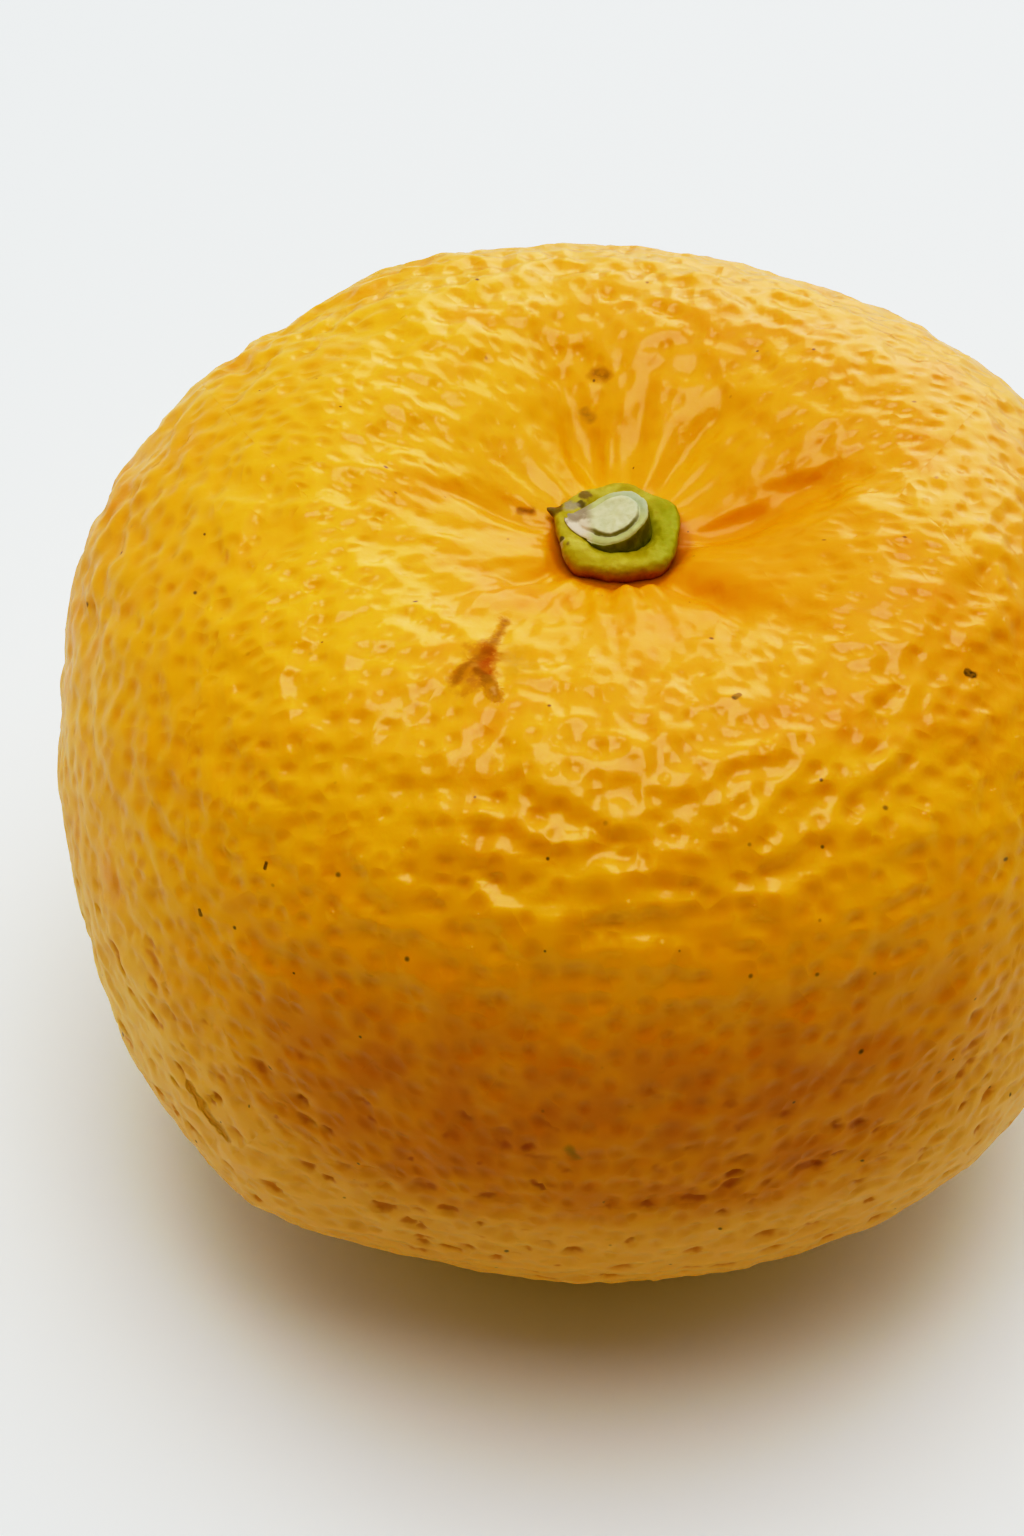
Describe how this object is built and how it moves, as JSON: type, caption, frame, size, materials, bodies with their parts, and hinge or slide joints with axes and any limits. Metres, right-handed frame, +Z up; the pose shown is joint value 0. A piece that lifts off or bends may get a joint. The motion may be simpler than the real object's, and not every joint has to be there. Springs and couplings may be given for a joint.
{
  "type": "yuzu",
  "caption": "Whole yuzu fruit, broad and lobed, with pitted golden peel and the calyx and cut stalk in its stem dimple; it rests on its blossom end.",
  "frame": {"origin": "on the surface that the fruit rests on, under the middle of its bounding box", "axes": "+Z up from the blossom end to the stem end, which is the fruit's shortest extent; +X and +Y across the girth, +Y away from the side with the knuckle and the scab"},
  "size_m": [0.066, 0.0664, 0.0499],
  "materials": {
    "peel": "satin",
    "calyx": "matte",
    "stalk": "matte"
  },
  "bodies": {
    "root": {"fruit": "peel", "calyx": "calyx", "stalk_stub": "stalk"}
  },
  "joints": []
}
